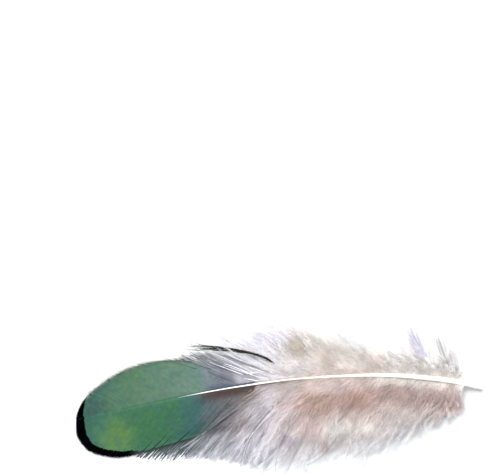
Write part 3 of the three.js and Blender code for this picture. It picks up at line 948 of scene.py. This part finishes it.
downLooks = {  # tones from the shaft outwards, at the down's front, centre and rear, and soft patches
    "downUpper": {
        "front": [(0.0, mauve), (0.12, pearl), (0.4, pearl), (0.55, lilac), (1.0, lilac)],
        "centre": [(0.0, pinkBeige), (0.12, cream), (0.26, beige), (0.46, beige), (0.6, dull),
                   (1.0, lilac)],
        "rear": [(0.0, cream), (0.12, greyGreen), (0.3, dull), (0.5, lilac), (1.0, lilac)],
        "patches": [((3.2, 9.0), 1.9, (196, 182, 166), 0.55), ((8.3, 6.6), 1.8, (212, 198, 190), 0.5),
                    ((3.6, 5.2), 1.8, (228, 224, 225), 0.6), ((17.3, 7.0), 2.2, (226, 214, 208), 0.4)]},
    "downLower": {
        "front": [(0.0, clay), (0.1, clay), (0.2, haze), (0.6, haze), (0.85, mist), (1.0, mist)],
        "centre": [(0.0, pinkBeige), (0.12, pinkBeige), (0.22, rose), (0.36, rose), (0.47, pinkBeige),
                   (0.6, cream), (0.72, dull), (1.0, mist)],
        "rear": [(0.0, cream), (0.1, cream), (0.17, taupe), (0.25, taupe), (0.36, pinkBeige), (0.5, dull),
                 (0.8, mist), (1.0, mist)],
        "patches": [((10.4, -6.2), 2.6, (240, 238, 234), 0.6), ((8.6, -9.3), 1.3, (208, 184, 176), 0.7),
                    ((10.6, -8.6), 1.3, (208, 184, 176), 0.7), ((2.0, -8.4), 1.6, (208, 192, 206), 0.6),
                    ((5.6, -5.6), 2.4, (226, 202, 202), 0.55), ((2.2, -4.8), 1.8, (206, 192, 192), 0.6),
                    ((31.2, 0.2), 2.0, (210, 193, 189), 0.7), ((7.0, -1.2), 2.4, (208, 188, 174), 0.6),
                    ((13.9, -0.5), 1.6, (202, 174, 160), 0.6), ((-2.3, 1.0), 2.4, (226, 221, 224), 0.6)],
        "ahead": {  # where the down meets the silk: tones along the feather, far from the shaft and near it
            "far": [(0.0, (100, 112, 114)), (0.22, (122, 126, 131)), (0.36, (142, 139, 145)),
                    (0.5, (166, 159, 161)), (0.63, (188, 179, 180)), (0.76, (206, 201, 204)),
                    (0.9, (218, 211, 216)), (1.0, (222, 214, 218))],
            # near the shaft, darker brown-grey: partly the barbs' own brown, partly painted shade under the
            # shaft
            "near": [(0.0, (100, 84, 82)), (0.33, (120, 102, 88)), (0.5, (148, 130, 116)),
                     (0.67, (168, 154, 144)), (0.85, (196, 184, 180)), (1.0, (212, 202, 202))],
            "span": (-14, -2), "nearShaft": (0.22, 0.06),
            "rows": [("ahead", ("x", -1.5, -4.5), ("beyond", 0.62, 0.44)),
                     ((182, 184, 194), ("x", -5.5, -9.5), ("beyond", 0.44, 0.62, 0.0, 0.55)),
                     # a dark brown line along the shaft: partly the roots' own brown, partly the shaft's
                     # painted shadow
                     (shaftShadowBrown, ("beyond", 0.055, 0.012), ("x", 8.0, -4.0, 0.0, 0.9))]}},
}
downShared = {
    "noises": {"drift": (0.24,), "sway": (0.2, 1.0, 3.0), "ragged": (0.38, 3.0, 5.0),
               "cloud": (0.42, 3.0, 7.0)},
    "centreFrom": (-4.0, 5.0), "rearFrom": (14.0, 22.0),
    "quillRows": [(pearl, ("x", 30.5, 33.5, 0.0, 0.25))],
    "rows": [(cream, ("part", 0.1, 0.05), ("lot", 0.9, 0.93, 0.1, 0.9)),  # the barbs' own stems
             (None, ("cloud", 0.3, 0.7, 0.88, 1.06)), (None, ("lot", 0, 1, 0.9, 1.06, "LINEAR")),
             (None, ("own", 0, 1, 0.93, 1.04, "LINEAR"))],
}


def downMaterial(name):
    look, shared = downLooks[name], downShared
    material, tree = newMaterial(name)
    read = readPoint(tree, shared["noises"])
    away = wander(tree, read, read["beyond"], drift=0.11, lot=0.03)
    moved = wander(tree, read, read["x"], sway=6.0)
    front, centre, rear = (colourRamp(tree, away, look[key]) for key in ("front", "centre", "rear"))
    colour = blendColour(tree, mapRange(tree, moved, *shared["centreFrom"]), front, centre)
    colour = blendColour(tree, mapRange(tree, moved, *shared["rearFrom"]), colour, rear)
    colour = softPatches(tree, read, colour, look["patches"])
    colour = layTones(tree, read, colour, shared["quillRows"])
    if "ahead" in look:
        ahead = look["ahead"]
        along = mapRange(tree, moved, *ahead["span"], kind="LINEAR")
        near = mapRange(tree, read["beyond"], *ahead["nearShaft"])
        read["ahead"] = blendColour(tree, near, colourRamp(tree, along, ahead["far"]),
                                    colourRamp(tree, along, ahead["near"]))
        colour = layTones(tree, read, colour, ahead["rows"])
    colour = layTones(tree, read, colour, shared["rows"])
    finishMaterial(tree, colour, roughness=0.65, specular=0.3, through=0.4)
    return material


downMaterials = [downMaterial(name) for name in downLooks]
downPieces = [piece for column, (field, material) in enumerate(zip(down["sides"], downMaterials))
              for piece in growDown(field, column, material)]
print("down grown")


# Loose barbs: the dark tuft along the upper shoulder, and single pale and dark strands

tuft = {
    "line": [(2.2, 3.9, 3.2), (0.0, 5.6, 3.8), (-1.5, 6.75, 4.5), (-2.7, 7.45, 4.4), (-5.7, 8.26, 3.7),
             (-9.65, 8.73, 2.8), (-13.3, 9.0, 2.1), (-17.2, 9.15, 1.6)],
    "barbs": 20, "steps": 34, "ends": (0.78, 1.0), "rounding": 3, "thin": 0.04, "thick": 0.06,
    "closed": 0.06, "spread": 0.36, "spreads": (0.36, 0.72), "fan": 0.34, "fans": (0.75, 1.0),
    "wave": (0.06, 9, 5), "ruffle": (0.04, 31, 11),  # mm, pace along the tuft and from barb to barb
    "ruffleFrom": (0.3, 0.5), "layers": 0.12, "thickens": (0.15, 0.42), "tones": 0.16,
    "barbules": 120, "barbule": 0.38, "barbulesFrom": 0.25, "layersFrom": (0.1, 0.5), "thins": 0.8,
    "barbuleShape": {"angle": 0.5, "roll": 0.3, "shorter": 0.5},
}
# Single strands: x of the root on the shaft, x, y and height of the tip, half width, tone from
# black to white, degrees by which it leaves and arrives wider than its chord, and the share of
# its length from which it shows
strands = [
    (-1.5, -9.7, 6.1, 2.9, 0.09, 1.0, 0, 4, 0.5), (-2.0, -7.2, 3.7, 3.6, 0.05, 1.0, 0, 0, 0.4),
    (-2.6, -12.4, 6.3, 2.2, 0.04, 0.95, 0, 2, 0.5), (1.5, -6.4, 5.9, 3.0, 0.025, 0.9, 0, 0, 0.6),
    (-6.0, -21.4, 7.3, 0.8, 0.04, 0.12, 4, -4, 0.7), (-5.0, -17.4, 7.0, 1.1, 0.05, 0.1, 4, -4, 0.7),
    (-3.0, -17.6, 7.7, 1.3, 0.035, 0.25, 2, 0, 0.6), (-2.0, -15.4, 8.1, 1.6, 0.03, 0.3, 2, 0, 0.6),
    (0.0, -13.9, -6.8, 0.9, 0.045, 0.95, -6, -2, 0.6), (3.0, -12.0, -8.0, 0.8, 0.035, 0.9, -6, -4, 0.6),
    (4.2, -10.4, -8.0, 2.0, 0.06, 0.95, -10, -12, 0.45), (5.6, -9.4, -8.9, 2.0, 0.05, 0.92, -12, -14, 0.45),
    (6.4, -8.6, -9.6, 2.2, 0.055, 0.92, -14, -16, 0.55), (7.4, -7.4, -10.6, 2.2, 0.04, 0.9, -18, -18, 0.55),
    (1.5, -12.2, -9.6, 0.6, 0.05, 0.22, -4, -4, 0.75), (3.2, -11.2, -9.4, 0.6, 0.04, 0.25, -6, -6, 0.75),
    (5.6, -6.3, -11.8, 1.2, 0.07, 0.28, -22, -34, 0.5), (6.2, -6.9, -12.5, 1.0, 0.06, 0.3, -24, -36, 0.65),
    (9.5, -4.3, -12.4, 1.2, 0.055, 0.32, -26, 24, 0.75),
    (11.5, -2.3, -13.3, 1.2, 0.055, 0.34, -28, 22, 0.78),
    (13.0, -0.6, -13.4, 1.2, 0.065, 0.28, -28, -40, 0.72),
    (14.5, 1.5, -13.3, 1.2, 0.05, 0.33, -28, -14, 0.75),
    (19.0, 4.9, -12.3, 1.0, 0.06, 0.3, -26, 30, 0.8), (18.0, 4.2, -11.6, 1.0, 0.05, 0.32, -26, 34, 0.8),
    (23.0, 11.3, -13.4, 0.8, 0.03, 0.4, -20, -20, 0.8), (25.0, 13.0, -11.2, 0.8, 0.04, 0.3, -10, 20, 0.8),
]
# Bundles: x of the root, x, y and height of the tips, number of barbs, their spread, tone, tint
# from green to lilac, the same degrees and share, and the length of their barbules
wisps = [
    (1.8, -10.9, 11.2, 0.9, 3, 0.35, 0.42, 0.6, 2, 14, 0.75, 0.25),
    (2.6, -8.6, 10.7, 0.9, 3, 0.6, 0.6, 0.7, 2, 16, 0.7, 0.3),
    (4.0, -5.4, 11.9, 1.0, 6, 0.7, 0.46, 0.7, 8, 24, 0.65, 0.4),
    (5.6, -3.6, 12.6, 1.8, 4, 1.0, 0.62, 0.7, 6, 22, 0.7, 0.4),
    (7.2, -2.0, 13.2, 1.8, 4, 0.5, 0.52, 0.9, 0, 18, 0.7, 0.4),
    (9.5, 0.6, 13.5, 1.8, 3, 0.3, 0.47, 0.5, -4, 18, 0.7, 0.3),
    (9.0, 1.4, 12.0, 1.8, 5, 0.6, 0.57, 0.1, -4, 18, 0.6, 0.5),
    (10.8, 2.2, 13.2, 1.8, 3, 0.8, 0.64, 0.3, -4, 16, 0.65, 0.4),
    (14.0, 4.9, 12.4, 1.6, 4, 0.8, 0.62, 0.3, -10, 14, 0.65, 0.5),
    (17.5, 8.3, 12.9, 1.4, 2, 0.3, 0.55, 0.6, -12, 12, 0.7, 0.3),
    (19.5, 10.7, 12.7, 1.4, 5, 0.6, 0.58, 0.2, -12, 8, 0.6, 0.6),
    (27.0, 17.9, 13.3, 1.0, 1, 0.2, 0.42, 1.0, -2, 14, 0.6, 0.2),
    (28.8, 23.3, 12.7, 0.7, 11, 1.0, 0.47, 1.0, -6, 4, 0.6, 0.6),
    (29.5, 23.2, 8.0, 1.2, 5, 0.8, 0.64, 0.2, 0, 12, 0.5, 0.7),
    (28.4, 26.5, 7.3, 1.0, 4, 0.5, 0.62, 0.3, 0, 10, 0.5, 0.7),
    (31.2, 28.7, 10.9, 0.7, 6, 0.45, 0.46, 0.1, 4, 12, 0.5, 0.5),
    (32.2, 30.8, 8.9, 0.7, 6, 0.55, 0.47, 0.3, 4, 10, 0.5, 0.5),
    (31.6, 29.6, 7.8, 0.9, 6, 0.9, 0.52, 0.2, 2, 6, 0.3, 0.5),
]
loose = {
    "strandTint": 0.5, "strandBarbule": 0.3, "steps": 24, "rise": 0.7,
    "wispWidth": 0.03, "wispStray": 0.25, "wispBack": (-0.2, 2.2),  # shares of a bundle's spread
    "unevenRoot": 0.4, "unevenHeight": 0.2, "unevenTone": 0.04, "unevenTurns": (6, 16),
    "emerges": 0.2, "sinks": (1.2, 1.8),  # a strand and a wisp run under the rest at first
    "vaneTo": -8.5, "vaneWidth": 8.0, "overVane": 0.3, "vaneSinks": 0.8,  # strands that lie on the vane
    "barbules": 150, "barbulesFrom": (0.3, 0.35), "halfWidths": [0.016, 0.012, 0.003],
    "angles": (0.35, 0.9), "rolls": (0.2, 0.6), "shorter": 0.5,  # of the barbules, strand and wisp
}


def growTuft(material):
    count = tuft["barbs"]
    line = np.array(tuft["line"])
    run = np.concatenate([[0], np.cumsum(np.linalg.norm(np.diff(line, axis=0), axis=1))])
    s = np.linspace(0, 1, tuft["steps"])[None] * rng.uniform(*tuft["ends"], count)[:, None]
    path = np.stack([np.interp(s * run[-1], run, line[:, i]) for i in range(3)], -1)
    for _ in range(tuft["rounding"]):
        path[:, 1:-1] = 0.25 * path[:, :-2] + 0.5 * path[:, 1:-1] + 0.25 * path[:, 2:]
    beside = unit(np.cross(np.gradient(path, axis=1), level))
    rank = np.linspace(-1, 1, count)[:, None]
    opening = tuft["closed"] + smooth(*tuft["spreads"], s) * tuft["spread"]
    opening = opening + smooth(*tuft["fans"], s) * tuft["fan"]
    wave, ruffle = (size * np.sin(along * s + over * rank)
                    for size, along, over in (tuft["wave"], tuft["ruffle"]))
    wave = wave + ruffle * smooth(*tuft["ruffleFrom"], s)
    path = path + beside * (rank * opening + wave)[..., None]
    apart = rng.normal(0, tuft["layers"], (count, 1)) * smooth(*tuft["layersFrom"], s)
    path = path + level * apart[..., None]
    thick = mix(tuft["thin"], tuft["thick"], smooth(*tuft["thickens"], s))
    thick = thick * (1 - tuft["thins"] * smooth(*tuft["fans"], s))
    values = {"station": 0.0, "extent": 1.0, "lot": rng.uniform(0, tuft["tones"], count),
              "barbule": tuft["barbule"], **tuft["barbuleShape"]}
    spec = {**fineBarbule, "from": tuft["barbulesFrom"], "barbules": tuft["barbules"]}
    group = {"path": path, "stem": thick, "values": values, "spec": spec}
    return barbPiece("shoulder_tuft", [group], material)


def looseRows():
    rows = [(*row, loose["strandTint"], loose["strandBarbule"], 0.0) for row in strands]
    for x, tipX, tipY, height, barbs, spread, tone, tint, leave, arrive, shows, barbule in wisps:
        tip = np.array([tipX, tipY])
        run = unit(tip - shaftFrame(shareAtX(np.array([x])))[0][0, :2])
        for rank in np.linspace(-1, 1, barbs):
            beside = (rank + rng.normal(0, loose["wispStray"])) * spread
            back = rng.uniform(*loose["wispBack"]) * spread
            end = tip - run * back + np.array([-run[1], run[0]]) * beside
            unevenLeave, unevenArrive = loose["unevenTurns"]
            rows.append((x + rng.normal(0, loose["unevenRoot"]), *end,
                         height + rng.normal(0, loose["unevenHeight"]), loose["wispWidth"],
                         tone + rng.normal(0, loose["unevenTone"]), leave + rng.normal(0, unevenLeave),
                         arrive + rng.normal(0, unevenArrive), shows, tint, barbule, 1.0))
    return np.array(rows)


def growStrands(material):
    x, tipX, tipY, height, halfWidth, tone, leave, arrive, shows, tint, barbule, soft = looseRows().T
    roots = shaftFrame(shareAtX(x))[0]
    tips = np.stack([tipX, tipY, height], -1)
    side = np.sign(tips[:, 1] - roots[:, 1])
    path = sweptPaths(roots, tips, loose["rise"], -side * leave, side * arrive, loose["steps"])
    s = np.linspace(0, 1, loose["steps"])[None]
    hidden = 1 - smooth(shows[:, None] - loose["emerges"], shows[:, None], s)
    onVane = vaneHeight(path, loose["vaneWidth"]) + loose["overVane"] - loose["vaneSinks"] * hidden
    sunk = path[..., 2] - mix(*loose["sinks"], soft)[:, None] * hidden
    liesOnVane = ((tipX < loose["vaneTo"]) & (soft < 0.5))[:, None]
    path[..., 2] = np.clip(np.where(liesOnVane, onVane, sunk), *barb["heights"]["strand"])
    values = {"station": tint, "extent": np.ones(len(x)), "lot": tone, "barbule": barbule,
              "angle": mix(*loose["angles"], soft), "roll": mix(*loose["rolls"], soft),
              "shorter": np.full(len(x), loose["shorter"])}
    groups = []
    for rows, start in zip((soft < 0.5, soft > 0.5), loose["barbulesFrom"]):
        spec = {**fineBarbule, "from": start, "barbules": loose["barbules"],
                "halfWidths": loose["halfWidths"]}
        groups.append(pickRows({"path": path, "stem": halfWidth[:, None], "spec": spec,
                                "values": values}, rows))
    return barbPiece("loose_barbs", groups, material)


strandLook = {
    "softTones": [("lot", 0.39, 0.3901), ("lot", 0.77, 0.7699)],
    "lighter": [  # what is added to a barb's tone
        [("part", 0, 1, 0.0, 0.12, "LINEAR")],
        [("part", 0.1, 0.05), ("lot", 0.42, 0.5), ("x", 20.0, 15.0, 0.0, 0.15)],
        [("soft", 0, 1), ("own", 0, 1, -0.1, 0.1, "LINEAR")],
        [("soft", 0, 1), ("out", 0.7, 0.5, 0.0, 0.35), ("x", 15.0, 20.0), ("x", 27.8, 26.4, 0.5, 1.0)],
    ],
    "tones": [(0.0, (10, 10, 11)), (0.14, (24, 26, 24)), (0.3, (96, 100, 106)), (0.5, (184, 182, 186)),
              (0.8, (226, 224, 226)), (1.0, (250, 250, 251))],
    "tints": ((0.97, 0.97, 0.88, 1.0), (0.94, 0.92, 1.05, 1.0)),  # what green and lilac multiply by
    "rows": [((112, 112, 76), ("own", 0.86, 0.8601), ("lot", 0.2, 0.1))],  # glints in the dark tuft
}


def strandMaterial():
    material, tree = newMaterial("looseBarb")
    read = readPoint(tree, {})
    read["soft"] = shareOf(tree, read, strandLook["softTones"])
    tone = maths(tree, "ADD", read["lot"], *[shareOf(tree, read, row) for row in strandLook["lighter"]])
    tint = blendColour(tree, read["station"], *strandLook["tints"])
    colour = blendColour(tree, 1.0, colourRamp(tree, tone, strandLook["tones"]), tint, "MULTIPLY")
    colour = layTones(tree, read, colour, strandLook["rows"])
    finishMaterial(tree, colour, roughness=0.45, specular=0.15)
    return material


looseBarb = strandMaterial()
loosePieces = [growTuft(looseBarb), growStrands(looseBarb)]
print("loose barbs grown")


# Shaft: one tapering stem, extruded ring by ring, with the quill's open end

def makeShaft():
    bpy.ops.object.select_all(action="DESELECT")
    share = np.linspace(0, 1, shaft["steps"] + 1)
    sunk = shaft["sinks"] * (1 - smooth(*shaft["nearTip"], share))
    middle = (shaftFrame(share)[0] - level * sunk[:, None]) * mm
    radius = between(shaft["radius"], share) * mm
    bpy.ops.mesh.primitive_circle_add(
        vertices=shaft["sides"], radius=radius[0], fill_type="NGON",
        location=middle[0], rotation=(0, math.pi / 2, 0))
    stem = bpy.context.object
    stem.name = "shaft"
    bpy.ops.object.transform_apply(location=True, rotation=True, scale=True)
    bpy.ops.object.mode_set(mode="EDIT")
    bpy.ops.mesh.select_all(action="SELECT")
    for i in range(1, len(share)):
        step = middle[i] - middle[i - 1]
        bpy.ops.mesh.extrude_region_move(TRANSFORM_OT_translate={"value": tuple(step)})
        grow = radius[i] / radius[i - 1]
        bpy.ops.transform.resize(value=(1, grow, grow), center_override=tuple(middle[i]))
    inner = shaft["hollow"]
    bpy.ops.mesh.extrude_region_move(TRANSFORM_OT_translate={"value": (0, 0, 0)})
    bpy.ops.transform.resize(value=(1, inner, inner), center_override=tuple(middle[-1]))
    inward = (-shaft["hollowDepth"] * mm, 0, 0)
    bpy.ops.mesh.extrude_region_move(TRANSFORM_OT_translate={"value": inward})
    bpy.ops.mesh.select_all(action="SELECT")
    bpy.ops.mesh.normals_make_consistent(inside=False)
    bpy.ops.object.mode_set(mode="OBJECT")
    bpy.ops.object.shade_smooth_by_angle(angle=math.radians(50))
    return stem


keratin = {
    "span": (-36, 37),
    "along": [(0.0, (6, 8, 8)), (0.02, (6, 8, 8)), (0.03, (52, 88, 70)), (0.2, (66, 100, 82)),
              (0.26, (118, 142, 128)), (0.31, (232, 230, 218)), (1.0, (254, 250, 238))],
    "stretch": (0.06, 1.0, 1.0), "rows": [((226, 212, 178), ("grain", 0.4, 0.75, 0.0, 0.1))],
}


def keratinMaterial():
    material, tree = newMaterial("keratin")
    read = readPoint(tree, {})
    along = mapRange(tree, read["x"], *keratin["span"], kind="LINEAR")
    stretched = addNode(tree, "ShaderNodeMapping", {"Vector": read["place"], "Scale": keratin["stretch"]})
    read["grain"] = noiseAt(tree, stretched.outputs[0], scale=9.0, detail=3.0)
    colour = layTones(tree, read, colourRamp(tree, along, keratin["along"]), keratin["rows"])
    bump = addNode(tree, "ShaderNodeBump", {
        "Strength": 0.12, "Distance": 0.04 * mm, "Height": read["grain"]})
    finishMaterial(tree, colour, roughness=0.32, specular=0.5, more={
        "Subsurface Weight": 0.25, "Subsurface Radius": (1.0, 0.8, 0.6), "Subsurface Scale": 0.4 * mm,
        "Normal": bump.outputs[0]})
    return material


stem = makeShaft()
stem.data.materials.append(keratinMaterial())
print("shaft made")

slots = {"vane": vanePieces + silkPieces, "down": downPieces + loosePieces, "shaft": [stem]}
for slotName, members in slots.items():
    for piece in members:
        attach(piece, "root")
        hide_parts("feather")


# Ground, light and camera

studio = {
    "frameWidth": 90.0, "aim": (-5.22, 28.89), "height": 400.0, "focus": 2.0, "sensor": 36.0,  # mm
    "keyPlace": (-0.08, 0.42, 0.5), "keySize": 0.4, "keyPower": 6.6, "keyColour": (1.0, 0.97, 0.94),
    "skyColour": (0.88, 0.94, 1.0), "skyStrength": 0.95,
    "groundSize": 4.0, "ground": (0.66, 0.66, 0.66, 1.0),
}


def makeGround():
    bpy.ops.object.select_all(action="DESELECT")
    bpy.ops.mesh.primitive_plane_add(size=studio["groundSize"], location=(0, 0, 0))
    ground = bpy.context.object
    ground.name = "ground"
    material, tree = newMaterial("whiteGround")
    finishMaterial(tree, studio["ground"], roughness=0.9, specular=0.1)
    ground.data.materials.append(material)


def makeLights():
    lamp = bpy.data.lights.new("key", "AREA")
    lamp.shape = "SQUARE"
    lamp.size = studio["keySize"]
    lamp.energy = studio["keyPower"]
    lamp.color = studio["keyColour"]
    key = bpy.data.objects.new("key", lamp)
    key.location = studio["keyPlace"]
    key.rotation_euler = (-key.location).to_track_quat("-Z", "Y").to_euler()
    bpy.context.scene.collection.objects.link(key)
    world = bpy.data.worlds.new("sky")
    world.use_nodes = True
    sky = world.node_tree.nodes["Background"]
    sky.inputs["Color"].default_value = (*studio["skyColour"], 1.0)
    sky.inputs["Strength"].default_value = studio["skyStrength"]
    bpy.context.scene.world = world


def makeCamera():
    lens = bpy.data.cameras.new("camera")
    camera = bpy.data.objects.new("camera", lens)
    camera.location = (studio["aim"][0] * mm, studio["aim"][1] * mm, studio["height"] * mm)
    lens.sensor_width = studio["sensor"]
    lens.lens = studio["sensor"] * (studio["height"] - studio["focus"]) / studio["frameWidth"]
    bpy.context.scene.collection.objects.link(camera)
    bpy.context.scene.camera = camera


makeGround()
makeLights()
makeCamera()
bpy.context.scene.view_settings.view_transform = "Standard"
print("ground, lights and camera set")
